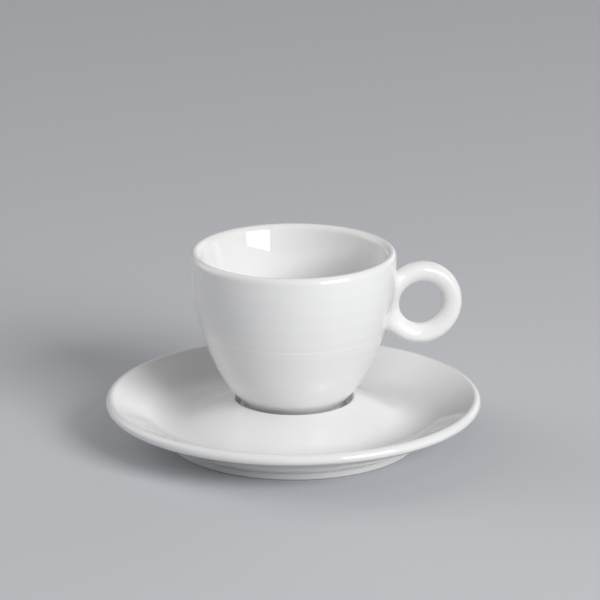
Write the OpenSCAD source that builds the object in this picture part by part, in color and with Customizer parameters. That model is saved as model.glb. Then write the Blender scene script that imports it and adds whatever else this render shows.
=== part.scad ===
// Espresso cup with saucer in white porcelain. The cup stands in the well of the saucer, with its ring
// handle towards +X. The origin is on the table, under the centre of the saucer. Angles are in degrees.

/* [Saucer] */
// Diameter over the lip
saucer_d = 120; // [112:1:130]
// Height of the lip above the table
saucer_h = 15; // [14:0.5:17]
// Thickness of the wall, and of the round lip that ends it
saucer_t = 3.4; // [2.8:0.1:4]
// Slope of the raised centre, which falls away from the well
centre_slope = 23; // [20:1:26]
// Thickness of the raised centre and of the floor of the well
centre_t = 4; // [3:0.1:4.6]
// Radius of the valley between the raised centre and the wall
valley_r = 18; // [12:1:24]
// Outer diameter of the foot ring
saucer_foot_d = 80; // [72:1:86]
// Height of the foot ring's outer wall
saucer_foot_h = 2.3; // [1.6:0.1:3.2]
// Width of the foot ring
saucer_foot_w = 3; // [2.4:0.1:4]

/* [Well] */
// Height of the edge of the well above the table, before it is rounded
well_edge_h = 14.7; // [13.5:0.1:15.5]
// Depth of the well
well_depth = 3.8; // [3:0.1:4.5]
// Gap round the cup's foot on the floor of the well
well_floor_gap = 1.6; // [1.4:0.1:2.2]
// Gap round the cup's wall at the edge of the well
well_edge_gap = 1.7; // [1.4:0.1:2.4]

/* [Cup] */
// Height of the cup by itself
cup_h = 52; // [47:1:58]
// Diameter over the lip
cup_d = 65.6; // [60:0.2:72]
// Width of the lip's rounding towards the outside
lip_outer_w = 1.4; // [1:0.1:1.8]
// Height of that rounding
lip_outer_h = 2.2; // [1.4:0.1:3]
// Width of the lip's rounding towards the bowl
lip_inner_w = 2; // [1.4:0.1:2.4]
// Height of that rounding
lip_inner_h = 2.6; // [1.8:0.1:3.4]
// Slope of the wall, from upright, where the belly begins
belly_start = 25; // [22:1:28]
// Slope of the wall, from upright, where the belly meets the foot
belly_end = 48.5; // [45:0.5:54]
// Outer diameter of the foot ring
cup_foot_d = 30.8; // [28:0.2:34]
// Height of the foot ring
cup_foot_h = 1.9; // [1.4:0.1:2.4]
// Width of the foot ring
cup_foot_w = 2.6; // [2:0.1:3.2]
// Height of the hollow inside the foot ring
cup_recess_h = 1.4; // [1:0.1:1.8]
// Thickness of the bottom between that hollow and the bowl
cup_bottom_t = 3.8; // [3.2:0.1:4.6]
// Slope of the bowl's side, from upright
bowl_lean = 12.5; // [11:0.5:14]
// Radius of the turn from the bowl's side into its flat bottom, as a share of the cup's diameter
bowl_turn_share = 0.27; // [0.22:0.01:0.28]

/* [Handle] */
// Diameter of the finger hole
hole_d = 14; // [12:0.2:17]
// Width of the ring, in the plane of the ring
ring_w = 6.6; // [6:0.1:8]
// Depth of the ring, across that plane
ring_t = 6.8; // [5:0.1:7.5]
// Height of the ring's centre above the cup's foot
ring_h = 32.4; // [30:0.2:34]
// Depth to which the ring would sink into the wall
ring_sink = 3.1; // [2:0.1:3.4]
// Reach of the slip that fills the corner between the ring and the wall
slip_fillet = 2.4; // [1.4:0.1:2.8]

/* [Hidden] */
porcelain = [0.93, 0.93, 0.92];

// Greatest distance of a curve's straight steps from the curve
curve_error = 0.01;
// Roundings of the saucer
well_edge_r = 0.9;
well_corner_r = 1.2;
saucer_foot_edge_r = 0.6;
saucer_foot_corner_r = 1.5;
ceiling_r = 4;
// Roundings of the cup's foot
cup_foot_edge_r = 0.5;
cup_recess_r = 0.8;
// Film of slip between the handle and the wall
slip_t = 0.04;
// Steps round the handle's ring, and round its section where it faces the wall and where it is free
ring_steps = 72;
seat_steps = 6;
free_steps = 20;
section_steps = seat_steps + free_steps;
// Half angle of a section's side towards the wall, where it doesn't reach the wall
least_seat = 12;
// Step of the search for the handle's skin, as a share of the ring's width, and its halvings
search_share = 1 / 16;
// Least distance off the wall from which the search starts, as a share of the ring's width
search_start_share = 1 / 7;
halvings = 12;

// Lip, wall and bowl of the cup, with heights above its own foot
lip_outer = [cup_d / 2 - lip_outer_w, cup_h - lip_outer_h];
lip_inner = [lip_outer.x, cup_h - lip_inner_h];
lip_end = atan(tan(bowl_lean) * lip_inner_h / lip_inner_w);
belly_foot = [cup_foot_d / 2, cup_foot_h];
wall_bends = bends(cup_d / 2 - belly_foot.x, lip_outer.y - belly_foot.y);
bowl_floor_h = cup_recess_h + cup_bottom_t;
bowl_top = lip_inner + [-lip_inner_w * cos(lip_end), lip_inner_h * sin(lip_end)];
bowl_turn_r = cup_d * bowl_turn_share;
bowl_side_h = bowl_top.y - bowl_floor_h - bowl_turn_r * (1 - sin(bowl_lean));
bowl_side_end = bowl_top - bowl_side_h * [tan(bowl_lean), 1];
bowl_turn = bowl_side_end - bowl_turn_r * [cos(bowl_lean), -sin(bowl_lean)];
cup_foot_inner_r = cup_foot_d / 2 - cup_foot_w;

// Centre circle and half sizes of the handle's ring
ring_r = (hole_d + ring_w) / 2;
ring_x = wall_r(ring_h) + ring_r + ring_w / 2 - ring_sink;
half_w = ring_w / 2;
half_t = ring_t / 2;

// Lip, foot and well of the saucer, as radius and height
saucer_lip_r = saucer_t / 2;
saucer_lip = [saucer_d / 2 - saucer_lip_r, saucer_h - saucer_lip_r];
foot_top = [saucer_foot_d / 2, saucer_foot_h];
foot_inner_r = saucer_foot_d / 2 - saucer_foot_w;
lip_from_foot = saucer_lip - foot_top;
wall_slope = atan2(lip_from_foot.y, lip_from_foot.x) - asin(saucer_lip_r / norm(lip_from_foot));
wall_top = saucer_lip + saucer_lip_r * [-sin(wall_slope), cos(wall_slope)];
well_floor_h = well_edge_h - well_depth;
well_edge = [wall_r(well_depth) + well_edge_gap, well_edge_h];
well_floor_r = cup_foot_d / 2 + well_floor_gap;
valley = slopes_meet(well_edge, -centre_slope, wall_top, wall_slope);
ceiling_h = well_floor_h - centre_t;
centre_below = [well_edge.x, well_edge_h - centre_t / cos(centre_slope)];

// Point at x on the line through p with a slope, and point where two such lines meet
function on_slope(p, slope, x) = [x, p.y + (x - p.x) * tan(slope)];
function slopes_meet(p, p_slope, q, q_slope) =
    let(x = (q.y - p.y + p.x * tan(p_slope) - q.x * tan(q_slope)) / (tan(p_slope) - tan(q_slope)))
    on_slope(p, p_slope, x);

// Points along part of an ellipse, or of a circle, no further apart than curve_error allows. One that goes on
// from the run before it leaves out its first point.
function oval(centre, w, h, from, to, first = 0) =
    let(steps = max(2, ceil(abs(to - from) / (2 * acos(1 - curve_error / max(w, h))))))
    [for (i = [first:steps]) let(a = from + (to - from) * i / steps) centre + [w * cos(a), h * sin(a)]];
function arc(centre, r, from, to, first = 0) = oval(centre, r, r, from, to, first);

// Points round the corner between two neighbours, rounded to radius r
function round_corner(before, corner, after, r) =
    let(
        u = (before - corner) / norm(before - corner),
        v = (after - corner) / norm(after - corner),
        half = acos(u * v) / 2,
        tangent = r / tan(half),
        centre = corner + (u + v) / norm(u + v) * r / sin(half),
        first = corner + u * tangent - centre,
        last = corner + v * tangent - centre,
        from = atan2(first.y, first.x),
        turn = atan2(first.x * last.y - first.y * last.x, first * last)
    )
    arc(centre, r, from, from + turn);

// Radii of the two arcs of a wall that starts upright, turns to belly_start and then to belly_end, while it
// comes in by width and down by height
function bends(width, height) =
    let(
        upper = [1 - cos(belly_start), sin(belly_start)],
        lower = [cos(belly_start) - cos(belly_end), sin(belly_end) - sin(belly_start)]
    )
    [width * lower.y - height * lower.x, height * upper.x - width * upper.y] / cross(upper, lower);

// Points down such a wall from its top
function wall_curve(top, radii) =
    let(
        upper = top - [radii[0], 0],
        lower = upper + (radii[0] - radii[1]) * [cos(belly_start), -sin(belly_start)]
    )
    concat(
        arc(upper, radii[0], 0, -belly_start),
        arc(lower, radii[1], -belly_start, -belly_end, first = 1)
    );

// Slope of the cup's outer wall, from upright, and its radius, at a height above the cup's foot
function wall_lean(z) =
    let(
        down = lip_outer.y - min(max(z, cup_foot_h), lip_outer.y),
        upper_drop = wall_bends[0] * sin(belly_start)
    )
    down < upper_drop ? asin(down / wall_bends[0])
        : asin(sin(belly_start) + (down - upper_drop) / wall_bends[1]);
function wall_r(z) =
    let(lean = wall_lean(z), upper_lean = min(lean, belly_start))
    cup_d / 2 - wall_bends[0] * (1 - cos(upper_lean)) - wall_bends[1] * (cos(upper_lean) - cos(lean));

// Distance outside the cup's wall, the bare ring, the slip in the corner between them, and the whole handle,
// where the ring runs smoothly into the slip and the wall cuts both
function off_wall(p) = (norm([p.x, p.y]) - wall_r(p.z)) * cos(wall_lean(p.z));
function off_ring(p) =
    (norm([(norm([p.x - ring_x, p.z - ring_h]) - ring_r) / half_w, p.y / half_t]) - 1) * min(half_w, half_t);
function off_slip(ring, wall) = (ring + wall - slip_fillet) * sqrt(1 / 2);
function merged(a, b) =
    let(near = max(slip_fillet - abs(a - b), 0))
    min(a, b) - near * near / (4 * slip_fillet);
function off_handle(p) =
    let(ring = off_ring(p), wall = off_wall(p))
    max(merged(ring, off_slip(ring, wall)), slip_t - wall);

// Distance from a point inside the handle to its skin: a walk outwards, then halvings of the last step
function skin(from, way, reach, step) =
    off_handle(from + way * reach) > 0 ? halved(from, way, reach - step, reach, halvings)
        : skin(from, way, reach + step, step);
function halved(from, way, low, high, left) =
    let(middle = (low + high) / 2)
    left == 0 ? middle
        : off_handle(from + way * middle) > 0 ? halved(from, way, low, middle, left - 1)
        : halved(from, way, middle, high, left - 1);

// Point of the handle's skin at an angle round the ring and an angle round its section
function handle_point(turn, around) =
    let(
        outward = [cos(turn), 0, sin(turn)],
        centre = [ring_x, 0, ring_h],
        inset = max(ring_w * search_start_share - off_wall(centre + ring_r * outward), 0),
        from = centre + (ring_r - inset) * outward,
        section = half_w * cos(around) * outward + [0, half_t * sin(around), 0],
        way = section / norm(section),
        step = ring_w * search_share
    )
    from + way * skin(from, way, step, step);

// Half angle over which a section lies on the wall, found by halving
function on_wall(turn, around) = off_wall(handle_point(turn, around)) < 2 * slip_t;
function seat_edge(turn, low, high, left) =
    let(middle = (low + high) / 2)
    left == 0 ? low
        : on_wall(turn, middle) ? seat_edge(turn, middle, high, left - 1)
        : seat_edge(turn, low, middle, left - 1);
function seat_angle(turn) = on_wall(turn, 0) ? max(seat_edge(turn, 0, 90, halvings), least_seat) : least_seat;

// Angles round a section: evenly spread over its seat on the wall, then round its free side
function section_angles(turn) =
    let(seat = seat_angle(turn))
    concat(
        [for (j = [0:seat_steps]) atan(tan(seat) * (2 * j / seat_steps - 1))],
        [for (j = [1:free_steps - 1]) seat + (360 - 2 * seat) * j / free_steps]
    );

module saucer_profile() {
    corners = [
        [[well_floor_r, well_floor_h], well_corner_r],
        [well_edge, well_edge_r],
        [valley, valley_r]
    ];
    below = [
        [[saucer_foot_d / 2, 0], saucer_foot_edge_r],
        [[foot_inner_r, 0], saucer_foot_edge_r],
        [on_slope(centre_below, -centre_slope, foot_inner_r), saucer_foot_corner_r],
        [slopes_meet(centre_below, -centre_slope, [0, ceiling_h], 0), ceiling_r]
    ];
    polygon(concat(
        [[0, well_floor_h]],
        rounded([0, well_floor_h], corners, wall_top),
        arc(saucer_lip, saucer_lip_r, 90 + wall_slope, 0),
        arc(saucer_lip, saucer_lip_r, 0, wall_slope - 90, first = 1),
        [foot_top],
        rounded(foot_top, below, [0, ceiling_h]),
        [[0, ceiling_h]]
    ));
}

// Points of a run of rounded corners, each a point and a radius, between two plain points
function rounded(start, corners, end) =
    let(path = concat([start], [for (c = corners) c[0]], [end]))
    [for (i = [0:len(corners) - 1]) each round_corner(path[i], path[i + 1], path[i + 2], corners[i][1])];

module cup_profile() {
    foot = [
        [[cup_foot_inner_r, cup_recess_h], cup_recess_r],
        [[cup_foot_inner_r, 0], cup_foot_edge_r],
        [[cup_foot_d / 2, 0], cup_foot_edge_r]
    ];
    outside = wall_curve([cup_d / 2, lip_outer.y], wall_bends);
    polygon(concat(
        [[0, cup_recess_h]],
        rounded([0, cup_recess_h], foot, belly_foot),
        [for (i = [len(outside) - 1:-1:0]) outside[i]],
        oval(lip_outer, lip_outer_w, lip_outer_h, 0, 90, first = 1),
        oval(lip_inner, lip_inner_w, lip_inner_h, 90, 180 - lip_end, first = 1),
        arc(bowl_turn, bowl_turn_r, -bowl_lean, -90),
        [[0, bowl_floor_h]]
    ));
}

module saucer() {
    color(porcelain) rotate_extrude($fn = 180) saucer_profile();
}

module cup_body() {
    color(porcelain) translate([0, 0, well_floor_h]) rotate_extrude($fn = 180) cup_profile();
}

module cup_handle() {
    points = [
        for (i = [0:ring_steps - 1])
        let(turn = 360 * i / ring_steps)
        for (around = section_angles(turn))
        handle_point(turn, around)
    ];
    function index(i, j) = (i % ring_steps) * section_steps + j % section_steps;
    faces = [
        for (i = [0:ring_steps - 1], j = [0:section_steps - 1])
        each [
            [index(i, j), index(i + 1, j), index(i + 1, j + 1)],
            [index(i, j), index(i + 1, j + 1), index(i, j + 1)]
        ]
    ];
    color(porcelain) translate([0, 0, well_floor_h]) polyhedron(points, faces);
}

saucer();
cup_body();
cup_handle();
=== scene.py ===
"""Looks of the espresso cup with saucer: glazed white porcelain on a plain floor, in soft studio light.

Lengths are in metres, in the frame of the CAD part: +Z up, the handle towards +X. A point of an outline is a
radius from the axis and a height.
"""

import math

import bpy
import numpy as np
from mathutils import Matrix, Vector


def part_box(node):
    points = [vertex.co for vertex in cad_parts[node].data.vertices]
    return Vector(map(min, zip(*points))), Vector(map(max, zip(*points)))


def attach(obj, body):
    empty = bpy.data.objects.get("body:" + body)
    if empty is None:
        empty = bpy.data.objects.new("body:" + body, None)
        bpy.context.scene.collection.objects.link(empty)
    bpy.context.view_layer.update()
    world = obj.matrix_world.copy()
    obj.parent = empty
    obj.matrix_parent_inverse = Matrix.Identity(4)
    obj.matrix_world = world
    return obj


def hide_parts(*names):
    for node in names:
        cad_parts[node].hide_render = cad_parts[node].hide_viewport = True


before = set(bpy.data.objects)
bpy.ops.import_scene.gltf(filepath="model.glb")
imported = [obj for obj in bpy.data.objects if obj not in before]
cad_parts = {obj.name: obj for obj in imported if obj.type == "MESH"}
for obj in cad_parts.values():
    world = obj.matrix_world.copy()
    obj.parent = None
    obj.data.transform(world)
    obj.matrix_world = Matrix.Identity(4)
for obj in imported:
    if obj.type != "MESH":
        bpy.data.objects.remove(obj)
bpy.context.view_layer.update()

MM = 0.001

# Sizes that the frame gives
SAUCER_LOW, SAUCER_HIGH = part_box("saucer")
CUP_LOW, CUP_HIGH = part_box("cup_body")
HANDLE_LOW, HANDLE_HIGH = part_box("cup_handle")
SAUCER_R = SAUCER_HIGH.x
SAUCER_H = SAUCER_HIGH.z
CUP_R = CUP_HIGH.x
CUP_TOP = CUP_HIGH.z
WELL_FLOOR = CUP_LOW.z
RING_OUTER = (HANDLE_HIGH.z - HANDLE_LOW.z) / 2
RING_X = HANDLE_HIGH.x - RING_OUTER
RING_Z = (HANDLE_HIGH.z + HANDLE_LOW.z) / 2

# Saucer
SAUCER_LIP_R = 1.7 * MM
SAUCER_FOOT_R = 40 * MM
SAUCER_FOOT_H = 2.3 * MM
SAUCER_FOOT_W = 3 * MM
CENTRE_SLOPE = math.radians(23)
CENTRE_T = 4 * MM
VALLEY_R = 18 * MM
WELL_EDGE_H = 14.7 * MM
WELL_EDGE_GAP = 1.7 * MM
WELL_FLOOR_GAP = 1.6 * MM
WELL_EDGE_ROUND = 0.9 * MM
WELL_CORNER_ROUND = 1.2 * MM
SAUCER_FOOT_ROUND = 0.6 * MM
SAUCER_FOOT_CORNER_ROUND = 1.5 * MM
CEILING_ROUND = 4 * MM
GLAZE_FILLET = 0.7 * MM

# Cup
CUP_LIP_OUTER_W = 1.4 * MM
CUP_LIP_OUTER_H = 2.2 * MM
CUP_LIP_INNER_W = 2 * MM
CUP_LIP_INNER_H = 2.6 * MM
BELLY_START = math.radians(25)
BELLY_END = math.radians(48.5)
CUP_FOOT_R = 15.4 * MM
CUP_FOOT_H = 1.9 * MM
CUP_FOOT_W = 2.6 * MM
CUP_RECESS_H = 1.4 * MM
CUP_BOTTOM_T = 3.8 * MM
BOWL_LEAN = math.radians(12.5)
BOWL_TURN_SHARE = 0.27
CUP_FOOT_ROUND = 0.5 * MM
CUP_RECESS_ROUND = 0.8 * MM
# Height of the pale line painted round the cup as a painted reflection
PAINTED_REFLECTION_LINE_H = 37.9 * MM

# Handle
RING_HALF_W = 3.3 * MM
RING_HALF_T = 3.4 * MM
RING_CREST_SHIFT = 0.7 * MM
RING_R = RING_OUTER - RING_HALF_W
SLIP_BLEND_SIDE = 4.5 * MM
SLIP_BLEND_TOP = 1.4 * MM
SLIP_BLEND_BOTTOM = 5.5 * MM
SLIP_BLEND_HOLE = 2.6 * MM
HANDLE_SINK = 0.5 * MM
HANDLE_TUCK = 0.006 * MM

# Fineness of the meshes
SEGMENTS = 288
OUTLINE_STEP = 0.5 * MM
ARC_STEP = math.radians(4)
ARC_LEAST_STEPS = 3
HANDLE_CELL = 0.4 * MM
NET_MARGIN = 4 * HANDLE_CELL
SLOPE_STEP = HANDLE_CELL / 50
EVENING_ROUNDS = 8
DRAWING_STEPS = 2


def arc(centre, radius, start, end):
    """Points along an arc, both ends included. A pair of radii makes it part of an ellipse."""
    steps = max(ARC_LEAST_STEPS, math.ceil(abs(end - start) / ARC_STEP))
    angles = np.linspace(start, end, steps + 1)
    return np.asarray(centre) + np.asarray(radius) * np.stack([np.cos(angles), np.sin(angles)], -1)


def round_corner(before, corner, after, radius):
    """Points round a corner between two neighbours."""
    before, corner, after = (np.asarray(p, float) for p in (before, corner, after))
    u = (before - corner) / np.linalg.norm(before - corner)
    v = (after - corner) / np.linalg.norm(after - corner)
    half = math.acos(np.clip(u @ v, -1, 1)) / 2
    centre = corner + (u + v) / np.linalg.norm(u + v) * radius / math.sin(half)
    first = corner + u * radius / math.tan(half) - centre
    last = corner + v * radius / math.tan(half) - centre
    start = math.atan2(first[1], first[0])
    turn = math.atan2(first[0] * last[1] - first[1] * last[0], first @ last)
    return arc(centre, radius, start, start + turn)


def rounded(path):
    """Points of a path of (point, radius) pairs, with its corners rounded."""
    points = [[path[0][0]]]
    for (before, _), (corner, radius), (after, _) in zip(path, path[1:], path[2:]):
        points.append(round_corner(before, corner, after, radius))
    points.append([path[-1][0]])
    return np.concatenate(points)


def on_slope(point, slope, r):
    """The point at radius r on a sloping line through another point."""
    return np.array([r, point[1] + (r - point[0]) * math.tan(slope)])


def slopes_meet(p, p_slope, q, q_slope):
    """The point where two sloping lines through points p and q meet."""
    rise = q[1] - p[1] + p[0] * math.tan(p_slope) - q[0] * math.tan(q_slope)
    return on_slope(p, p_slope, rise / (math.tan(p_slope) - math.tan(q_slope)))


def bends(width, height):
    """Radii of the two arcs of a wall that starts upright, turns to BELLY_START and then to BELLY_END."""
    upper = [1 - math.cos(BELLY_START), math.sin(BELLY_START)]
    lower = [math.cos(BELLY_START) - math.cos(BELLY_END), math.sin(BELLY_END) - math.sin(BELLY_START)]
    return np.linalg.solve(np.transpose([upper, lower]), [width, height])


def wall_curve(top, radii):
    """Points down such a wall from its top, given the radii of its arcs."""
    upper = np.array([top[0] - radii[0], top[1]])
    lower = upper + (radii[0] - radii[1]) * np.array([math.cos(BELLY_START), -math.sin(BELLY_START)])
    return np.concatenate([
        arc(upper, radii[0], 0, -BELLY_START),
        arc(lower, radii[1], -BELLY_START, -BELLY_END)[1:],
    ])


CUP_LIP = np.array([CUP_R - CUP_LIP_OUTER_W, CUP_TOP - CUP_LIP_OUTER_H])
BELLY_FOOT = np.array([CUP_FOOT_R, WELL_FLOOR + CUP_FOOT_H])
WALL_BENDS = bends(CUP_R - BELLY_FOOT[0], CUP_LIP[1] - BELLY_FOOT[1])


def wall_lean(z):
    """Lean of the cup's outer wall from upright, at heights z."""
    down = CUP_LIP[1] - np.clip(z, BELLY_FOOT[1], CUP_LIP[1])
    upper_drop = WALL_BENDS[0] * math.sin(BELLY_START)
    upper_sine = np.minimum(down, upper_drop) / WALL_BENDS[0]
    lower_sine = math.sin(BELLY_START) + np.maximum(down - upper_drop, 0) / WALL_BENDS[1]
    return np.where(down < upper_drop, np.arcsin(upper_sine), np.arcsin(lower_sine))


def wall_r(z):
    """Radius of the cup's outer wall, at heights z."""
    lean = wall_lean(z)
    upper = np.minimum(lean, BELLY_START)
    return CUP_R - WALL_BENDS[0] * (1 - np.cos(upper)) - WALL_BENDS[1] * (np.cos(upper) - np.cos(lean))


def saucer_outline():
    """Outline of the saucer, from the floor of the well over the lip to the ceiling under it."""
    lip = np.array([SAUCER_R - SAUCER_LIP_R, SAUCER_H - SAUCER_LIP_R])
    foot_top = np.array([SAUCER_FOOT_R, SAUCER_FOOT_H])
    across = lip - foot_top
    slope = math.atan2(across[1], across[0]) - math.asin(SAUCER_LIP_R / np.linalg.norm(across))
    wall_top = lip + SAUCER_LIP_R * np.array([-math.sin(slope), math.cos(slope)])
    wall_end = lip + SAUCER_LIP_R * np.array([math.sin(slope), -math.cos(slope)])
    well_edge = np.array([float(wall_r(WELL_EDGE_H)) + WELL_EDGE_GAP, WELL_EDGE_H])
    below = np.array([well_edge[0], WELL_EDGE_H - CENTRE_T / math.cos(CENTRE_SLOPE)])
    ceiling = np.array([0, WELL_FLOOR - CENTRE_T])
    foot_inner_r = SAUCER_FOOT_R - SAUCER_FOOT_W
    above = rounded([
        ([0, WELL_FLOOR], 0),
        ([CUP_FOOT_R + WELL_FLOOR_GAP, WELL_FLOOR], WELL_CORNER_ROUND),
        (well_edge, WELL_EDGE_ROUND),
        (slopes_meet(well_edge, -CENTRE_SLOPE, wall_top, slope), VALLEY_R),
        (wall_top, 0),
    ])
    underneath = rounded([
        (wall_end, 0),
        (foot_top, GLAZE_FILLET),
        ([SAUCER_FOOT_R, 0], SAUCER_FOOT_ROUND),
        ([foot_inner_r, 0], SAUCER_FOOT_ROUND),
        (on_slope(below, -CENTRE_SLOPE, foot_inner_r), SAUCER_FOOT_CORNER_ROUND),
        (slopes_meet(below, -CENTRE_SLOPE, ceiling, 0), CEILING_ROUND),
        (ceiling, 0),
    ])
    rim = arc(lip, SAUCER_LIP_R, math.pi / 2 + slope, slope - math.pi / 2)
    return np.concatenate([above, rim[1:-1], underneath])


def cup_outline():
    """Outline of the cup, from the floor of the bowl over the lip and the foot to the recess under it."""
    recess = WELL_FLOOR + CUP_RECESS_H
    bowl_floor = recess + CUP_BOTTOM_T
    lip_inner = np.array([CUP_LIP[0], CUP_TOP - CUP_LIP_INNER_H])
    lip_inner_radii = np.array([CUP_LIP_INNER_W, CUP_LIP_INNER_H])
    lip_end = math.atan(math.tan(BOWL_LEAN) * CUP_LIP_INNER_H / CUP_LIP_INNER_W)
    bowl_top = lip_inner + lip_inner_radii * np.array([-math.cos(lip_end), math.sin(lip_end)])
    turn_r = 2 * CUP_R * BOWL_TURN_SHARE
    side_drop = bowl_top[1] - bowl_floor - turn_r * (1 - math.sin(BOWL_LEAN))
    turn_end_r = bowl_top[0] - side_drop * math.tan(BOWL_LEAN)
    turn_centre = np.array([turn_end_r - turn_r * math.cos(BOWL_LEAN), bowl_floor + turn_r])
    outside = wall_curve([CUP_R, CUP_LIP[1]], WALL_BENDS)
    foot_inner_r = CUP_FOOT_R - CUP_FOOT_W
    foot = rounded([
        (outside[-2], 0),
        (BELLY_FOOT, GLAZE_FILLET),
        ([CUP_FOOT_R, WELL_FLOOR], CUP_FOOT_ROUND),
        ([foot_inner_r, WELL_FLOOR], CUP_FOOT_ROUND),
        ([foot_inner_r, recess], CUP_RECESS_ROUND),
        ([0, recess], 0),
    ])
    return np.concatenate([
        [[0, bowl_floor]],
        arc(turn_centre, turn_r, -math.pi / 2, -BOWL_LEAN),
        arc(lip_inner, lip_inner_radii, math.pi - lip_end, math.pi / 2),
        arc(CUP_LIP, [CUP_LIP_OUTER_W, CUP_LIP_OUTER_H], math.pi / 2, 0)[1:-1],
        outside[:-2],
        foot,
    ])


def evened(outline):
    """The outline with its long straight runs cut into short steps."""
    points = [outline[:1]]
    for start, end in zip(outline, outline[1:]):
        cuts = max(1, math.ceil(np.linalg.norm(end - start) / OUTLINE_STEP))
        points.append(start + (end - start) * np.arange(1, cuts + 1)[:, None] / cuts)
    return np.concatenate(points)


def new_piece(name, points, faces):
    mesh = bpy.data.meshes.new(name)
    mesh.from_pydata(points.tolist(), [], faces)
    mesh.update()
    mesh.shade_smooth()
    piece = bpy.data.objects.new(name, mesh)
    bpy.context.scene.collection.objects.link(piece)
    return piece


def revolve(name, outline):
    """A closed piece turned from an outline that starts and ends on the axis, with the solid on its left."""
    outline = evened(outline)
    rings = outline[1:-1]
    angles = np.arange(SEGMENTS) * 2 * math.pi / SEGMENTS
    x = rings[:, :1] * np.cos(angles)
    y = rings[:, :1] * np.sin(angles)
    z = np.repeat(rings[:, 1:], SEGMENTS, 1)
    points = np.concatenate([
        np.stack([x, y, z], -1).reshape(-1, 3),
        [[0, 0, outline[0, 1]], [0, 0, outline[-1, 1]]],
    ])
    first_pole = len(rings) * SEGMENTS
    last_ring = first_pole - SEGMENTS
    faces = []
    for j in range(SEGMENTS):
        k = (j + 1) % SEGMENTS
        faces.append((first_pole, j, k))
        faces.append((first_pole + 1, last_ring + k, last_ring + j))
        for i in range(0, last_ring, SEGMENTS):
            faces.append((i + j, i + SEGMENTS + j, i + SEGMENTS + k, i + k))
    return new_piece(name, points, faces)


def off_ring(p):
    """Distance outside the handle's bare ring. The crests of its two faces lie outside its middle."""
    outwards = np.hypot(p[..., 0] - RING_X, p[..., 2] - RING_Z) - RING_R - RING_CREST_SHIFT
    half_w = RING_HALF_W - RING_CREST_SHIFT * np.sign(outwards)
    return (np.hypot(outwards / half_w, p[..., 1] / RING_HALF_T) - 1) * min(RING_HALF_W, RING_HALF_T)


def off_wall(p):
    """Distance outside the cup's wall."""
    return (np.hypot(p[..., 0], p[..., 1]) - wall_r(p[..., 2])) * np.cos(wall_lean(p[..., 2]))


def slip_blend(p):
    """Breadth of the blend of slip: wide at the ring's sides and below, narrow on top and in the hole."""
    outwards = np.hypot(p[..., 0] - RING_X, p[..., 2] - RING_Z) - RING_R
    sideways = p[..., 1]**2 / np.maximum(p[..., 1]**2 + outwards**2, HANDLE_TUCK**2)
    height = np.clip((p[..., 2] - RING_Z) / RING_OUTER, -1, 1) / 2 + 0.5
    outside = SLIP_BLEND_BOTTOM + (SLIP_BLEND_TOP - SLIP_BLEND_BOTTOM) * height
    edge = np.where(outwards > 0, outside, SLIP_BLEND_HOLE)
    return edge + (SLIP_BLEND_SIDE - edge) * sideways


def off_handle(p):
    """Distance outside the handle: the ring, run smoothly into the wall and sunk a little into it."""
    ring = off_ring(p)
    wall = off_wall(p)
    blend = slip_blend(p)
    near = np.maximum(blend - np.abs(ring - wall - HANDLE_TUCK), 0)
    filled = np.minimum(ring, wall + HANDLE_TUCK) - near**2 / (4 * blend)
    return np.maximum(np.maximum(filled, -wall - HANDLE_SINK), ring - blend)


def slope_of(field, p):
    """Gradient of a distance field at points."""
    steps = np.eye(3) * SLOPE_STEP
    return np.stack([(field(p + s) - field(p - s)) / (2 * SLOPE_STEP) for s in steps], -1)


def surface_net(field, low, high, cell):
    """Points and quads of the surface where a field is zero: one point in each cell that it crosses."""
    counts = np.ceil((high - low) / cell).astype(int) + 1
    axes = [low[i] + cell * np.arange(counts[i]) for i in range(3)]
    inside = field(np.stack(np.meshgrid(*axes, indexing="ij"), -1)) < 0
    corners = sum(
        inside[i:counts[0] - 1 + i, j:counts[1] - 1 + j, k:counts[2] - 1 + k].astype(int)
        for i in (0, 1) for j in (0, 1) for k in (0, 1)
    )
    crossed = (corners > 0) & (corners < 8)
    number = np.full(crossed.shape, -1)
    number[crossed] = np.arange(crossed.sum())
    points = low + cell * (np.argwhere(crossed) + 0.5)
    quads = []
    for axis in range(3):
        u, v = (axis + 1) % 3, (axis + 2) % 3
        here = np.moveaxis(inside, (axis, u, v), (0, 1, 2))
        cells = np.moveaxis(number, (axis, u, v), (0, 1, 2))
        leaves = here[:-1] & ~here[1:]
        enters = ~here[:-1] & here[1:]
        for change, order in ((leaves, 1), (enters, -1)):
            a, b, c = np.nonzero(change)
            around = [cells[a, b - 1, c - 1], cells[a, b, c - 1], cells[a, b, c], cells[a, b - 1, c]]
            quads.append(np.stack(around[::order], -1))
    return points, np.concatenate(quads)


def settle(field, points, quads):
    """Evens out a net's points and draws them onto the surface."""
    pairs = np.concatenate([quads[:, [i, (i + 1) % 4]] for i in range(4)])
    links = np.bincount(pairs[:, 0], minlength=len(points))[:, None]
    for _ in range(EVENING_ROUNDS):
        mean = np.zeros_like(points)
        np.add.at(mean, pairs[:, 0], points[pairs[:, 1]])
        points = (points + mean / links) / 2
        for _ in range(DRAWING_STEPS):
            slope = slope_of(field, points)
            points = points - field(points)[:, None] * slope / (slope**2).sum(-1, keepdims=True)
    return points


def build_handle():
    """The handle's mesh, with the smooth normals of its field."""
    reach = SLIP_BLEND_SIDE + NET_MARGIN
    low = np.array([0, -RING_HALF_T, HANDLE_LOW.z]) - reach
    high = np.array([HANDLE_HIGH.x, RING_HALF_T, HANDLE_HIGH.z]) + reach
    low[0] = math.sqrt(wall_r(low[2])**2 - low[1]**2) - reach
    points, quads = surface_net(off_handle, low, high, HANDLE_CELL)
    points = settle(off_handle, points, quads)
    piece = new_piece("cup_handle_glazed", points, quads.tolist())
    slope = slope_of(off_handle, points)
    normals = slope / np.linalg.norm(slope, axis=-1, keepdims=True)
    piece.data.normals_split_custom_set_from_vertices(normals.tolist())
    return piece


# Materials

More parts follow.
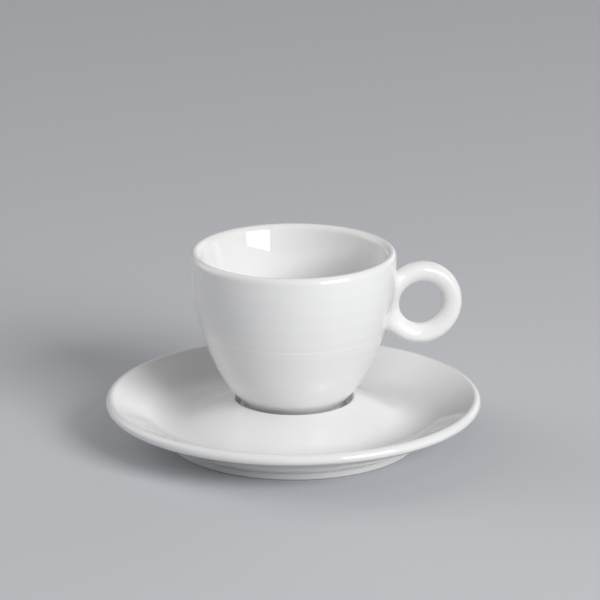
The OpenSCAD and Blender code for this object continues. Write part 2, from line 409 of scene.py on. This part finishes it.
GLAZE_IOR = 1.52
GLAZE_DULL = (0.790, 0.790, 0.788, 1)
GLAZE_CLEAR = (0.820, 0.819, 0.815, 1)
GLAZE_SMOOTHEST = 0.025
GLAZE_ROUGHEST = 0.05
# Colour and half width of the painted reflection line round the cup
PAINTED_REFLECTION_LINE = (0.840, 0.840, 0.836, 1)
PAINTED_REFLECTION_LINE_HALF_W = 0.3 * MM
GLAZE_EDGE_LOW = 0.25 * MM
GLAZE_EDGE_HIGH = 0.45 * MM
MOTTLE_SCALE = 90
MOTTLE_DETAIL = 3
RIPPLE_SCALE = 160
RIPPLE_DETAIL = 1
RIPPLE_STRENGTH = 0.3
RIPPLE_DEPTH = 0.01 * MM
BARE = (0.66, 0.63, 0.58, 1)
BARE_ROUGHNESS = 0.7


def feed(tree, node, inputs):
    """Sets inputs of a node, each to a value or to the output of another node."""
    for socket, value in inputs.items():
        if isinstance(value, bpy.types.NodeSocket):
            tree.links.new(value, node.inputs[socket])
        else:
            node.inputs[socket].default_value = value


def add_node(tree, kind, output, inputs, **settings):
    """Adds a node and returns one of its outputs."""
    node = tree.nodes.new("ShaderNode" + kind)
    for name, value in settings.items():
        setattr(node, name, value)
    feed(tree, node, inputs)
    return node.outputs[output]


def add_noise(tree, place, scale, detail):
    return add_node(tree, "TexNoise", "Fac", {"Vector": place, "Scale": scale, "Detail": detail})


def mix_colours(tree, share, first, second):
    return add_node(tree, "Mix", "Result", {"Factor": share, "A": first, "B": second}, data_type="RGBA")


def new_material(name):
    material = bpy.data.materials.new(name)
    material.use_nodes = True
    return material


def glazed_porcelain(name, foot_height, reflection_line_height=None):
    """White porcelain under a clear glossy glaze, bare and matt on the foot that stood in the kiln.

    At the height given last, a faint paler line is painted round it: a painted reflection.
    """
    material = new_material(name)
    tree = material.node_tree
    place = add_node(tree, "TexCoord", "Object", {})
    height = add_node(tree, "SeparateXYZ", "Z", {"Vector": place})
    mottle = add_noise(tree, place, MOTTLE_SCALE, MOTTLE_DETAIL)
    ripple = add_noise(tree, place, RIPPLE_SCALE, RIPPLE_DETAIL)
    bare = add_node(tree, "MapRange", "Result", {
        "Value": height,
        "From Min": foot_height + GLAZE_EDGE_HIGH,
        "From Max": foot_height + GLAZE_EDGE_LOW,
    })

    colour = mix_colours(tree, mottle, GLAZE_DULL, GLAZE_CLEAR)
    # A pale band painted at that height: a painted reflection
    if reflection_line_height is not None:
        near_reflection_line = {0: height, 1: reflection_line_height, 2: PAINTED_REFLECTION_LINE_HALF_W}
        line = add_node(tree, "Math", "Value", near_reflection_line, operation="COMPARE")
        colour = mix_colours(tree, line, colour, PAINTED_REFLECTION_LINE)
    polish = add_node(tree, "MapRange", "Result", {
        "Value": mottle,
        "To Min": GLAZE_SMOOTHEST,
        "To Max": GLAZE_ROUGHEST,
    })
    feed(tree, tree.nodes["Principled BSDF"], {
        "IOR": GLAZE_IOR,
        "Base Color": mix_colours(tree, bare, colour, BARE),
        "Roughness": add_node(tree, "Mix", "Result", {"Factor": bare, "A": polish, "B": BARE_ROUGHNESS}),
        "Normal": add_node(tree, "Bump", "Normal", {
            "Height": ripple,
            "Strength": RIPPLE_STRENGTH,
            "Distance": RIPPLE_DEPTH,
        }),
    })
    return material


def dress(piece, body, node, material):
    """Puts a piece in place of its CAD node, on the node's body."""
    piece.data.materials.append(material)
    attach(piece, body)
    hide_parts(node)


saucer_glaze = glazed_porcelain("saucer_glaze", SAUCER_LOW.z)
# The cup's glaze carries the painted reflection line
cup_glaze = glazed_porcelain("cup_glaze", CUP_LOW.z, PAINTED_REFLECTION_LINE_H)
handle_glaze = glazed_porcelain("handle_glaze", CUP_LOW.z)
dress(revolve("saucer_glazed", saucer_outline()), "saucer", "saucer", saucer_glaze)
dress(revolve("cup_body_glazed", cup_outline()), "cup", "cup_body", cup_glaze)
dress(build_handle(), "cup", "cup_handle", handle_glaze)

# Camera, at the photograph's viewing angle

VIEW_AZIMUTH = math.radians(-11.5)
VIEW_ELEVATION = math.radians(17.05)
VIEW_DISTANCE = 1100 * MM
VIEW_CENTRE_RIGHT = 2.1 * MM
VIEW_CENTRE_UP = 46.46 * MM
VIEW_END = 20
SENSOR_WIDTH = 36
# Width of the photograph in pixels, and its pixels to a metre at the object
PHOTO_PIXELS = 600
PHOTO_PIXELS_PER_METRE = 3146


def way(azimuth, elevation):
    """Unit vector from the object, where azimuth 0 is towards -Y and grows towards +X."""
    flat = math.cos(elevation)
    return Vector((math.sin(azimuth) * flat, -math.cos(azimuth) * flat, math.sin(elevation)))


def way_from_view(azimuth, elevation):
    """The same in degrees, with the azimuth counted from the camera's."""
    return way(VIEW_AZIMUTH + math.radians(azimuth), math.radians(elevation))


RIGHT = Vector((math.cos(VIEW_AZIMUTH), math.sin(VIEW_AZIMUTH), 0))
VIEW_CENTRE = RIGHT * VIEW_CENTRE_RIGHT + Vector((0, 0, VIEW_CENTRE_UP))


def add_camera():
    data = bpy.data.cameras.new("camera")
    data.sensor_width = SENSOR_WIDTH
    data.lens = SENSOR_WIDTH * (PHOTO_PIXELS_PER_METRE / PHOTO_PIXELS) * VIEW_DISTANCE
    data.clip_end = VIEW_END
    camera = bpy.data.objects.new("camera", data)
    bpy.context.scene.collection.objects.link(camera)
    towards = way(VIEW_AZIMUTH, VIEW_ELEVATION)
    camera.location = VIEW_CENTRE + towards * VIEW_DISTANCE
    camera.rotation_euler = towards.to_track_quat("Z", "Y").to_euler()
    bpy.context.scene.camera = camera


add_camera()

# Lights

LIT_HEIGHT = 40 * MM


def add_softbox(name, azimuth, elevation, distance, width, height, power, mirrored=True, shining=True):
    """A rectangular lamp that faces the object, with its azimuth in degrees from the camera's.

    One that isn't mirrored only lights the object, and one that isn't shining only shows as a reflection.
    """
    data = bpy.data.lights.new(name, "AREA")
    data.shape = "RECTANGLE"
    data.size = width
    data.size_y = height
    data.energy = power
    lamp = bpy.data.objects.new(name, data)
    lamp.visible_camera = False
    lamp.visible_glossy = mirrored
    lamp.visible_diffuse = shining
    bpy.context.scene.collection.objects.link(lamp)
    towards = way_from_view(azimuth, elevation)
    lamp.location = Vector((0, 0, LIT_HEIGHT)) + towards * distance
    lamp.rotation_euler = towards.to_track_quat("Z", "Y").to_euler()


add_softbox(
    "key", azimuth=40, elevation=26, distance=3.0,
    width=1.5, height=1.14, power=78.0, mirrored=False,
)
add_softbox(
    "top", azimuth=30, elevation=60, distance=0.5,
    width=0.35, height=0.35, power=0.35, mirrored=False,
)
add_softbox(
    "window", azimuth=46, elevation=15, distance=1.0,
    width=0.55, height=0.45, power=8.0, shining=False,
)

# Floor and world

FLOOR_HALF_SIDE = 4.0
FLOOR_ROUGHNESS = 0.9
FLOOR_SHINE = 0.1
PALE = (0.58, 0.59, 0.62, 1)
WHITE = (1, 1, 1, 1)
# Azimuth from the camera's and elevation in degrees, narrowness and strength of each glow
GLOWS = (
    (150, 10, 10, 1.35),
    (-110, 15, 10, 2.0),
    (-120, 45, 6, 0.72),
)
EVEN_LIGHT = 0.07


def floor_material():
    material = new_material("floor")
    tree = material.node_tree
    feed(tree, tree.nodes["Principled BSDF"], {
        "Base Color": PALE,
        "Roughness": FLOOR_ROUGHNESS,
        "Specular IOR Level": FLOOR_SHINE,
    })
    return material


def add_floor():
    side = FLOOR_HALF_SIDE
    corners = np.array([[-side, -side, 0], [side, -side, 0], [side, side, 0], [-side, side, 0]])
    floor = new_piece("floor", corners, [(0, 1, 2, 3)])
    floor.data.materials.append(floor_material())


def set_world():
    """A dim even light all round, with soft glows as from large white screens."""
    world = bpy.data.worlds.new("studio")
    bpy.context.scene.world = world
    world.use_nodes = True
    tree = world.node_tree
    place = add_node(tree, "TexCoord", "Generated", {})
    light = EVEN_LIGHT
    for azimuth, elevation, narrowness, strength in GLOWS:
        towards = way_from_view(azimuth, elevation)
        facing = add_node(tree, "VectorMath", "Value", {0: place, 1: towards}, operation="DOT_PRODUCT")
        ahead = add_node(tree, "Math", "Value", {0: facing, 1: 0}, operation="MAXIMUM")
        glow = add_node(tree, "Math", "Value", {0: ahead, 1: narrowness}, operation="POWER")
        light = add_node(tree, "Math", "Value", {0: glow, 1: strength, 2: light}, operation="MULTIPLY_ADD")
    feed(tree, tree.nodes["Background"], {"Color": WHITE, "Strength": light})


add_floor()
set_world()
bpy.context.scene.view_settings.view_transform = "Standard"
